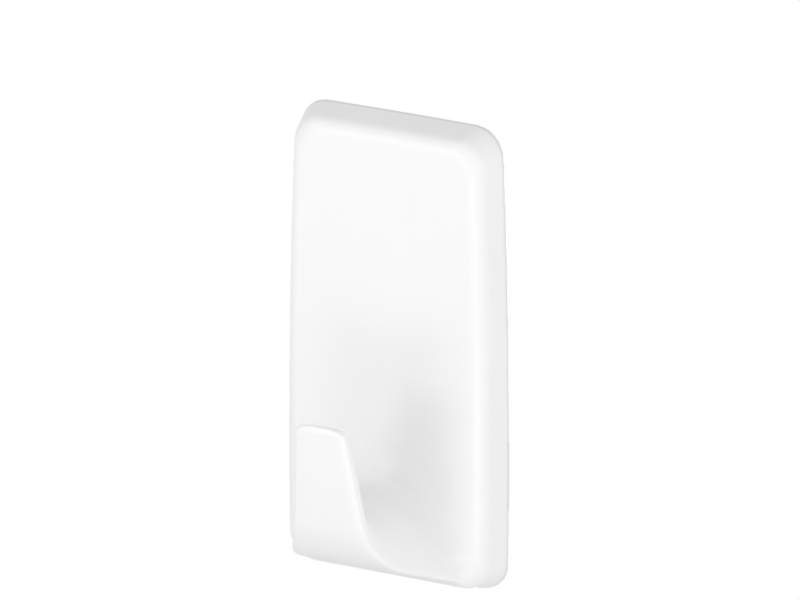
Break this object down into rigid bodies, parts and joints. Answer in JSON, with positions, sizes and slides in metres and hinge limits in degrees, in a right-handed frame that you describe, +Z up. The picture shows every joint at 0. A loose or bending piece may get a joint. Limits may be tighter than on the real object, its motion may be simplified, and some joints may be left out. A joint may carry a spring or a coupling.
{
  "type": "adhesive wall hook",
  "caption": "White moulded wall hook: a tall rounded cover with a tapered, upturned tongue slides over a base plate held by a stretch-release adhesive strip.",
  "frame": {"origin": "on the adhesive strip's wall face, at mid width and at the middle of the cover's height", "axes": "+Y into the wall, so the hook faces -Y; +Z up along the cover; +X to the right, seen from the room"},
  "size_m": [0.029, 0.0213, 0.0582],
  "materials": {
    "cover": "satin",
    "base": "matte",
    "strip": "soft",
    "film": "glossy"
  },
  "bodies": {
    "wall_side": {"base_plate": "base", "adhesive_strip": "strip", "tab_film_front": "film", "tab_film_rear": "film"},
    "cover": {"hook_cover": "cover"}
  },
  "joints": [
    {"name": "cover_slide", "type": "slide", "parent": "wall_side", "child": "cover", "axis": [0, 0, 1], "range_m": [0, 0.056]}
  ]
}
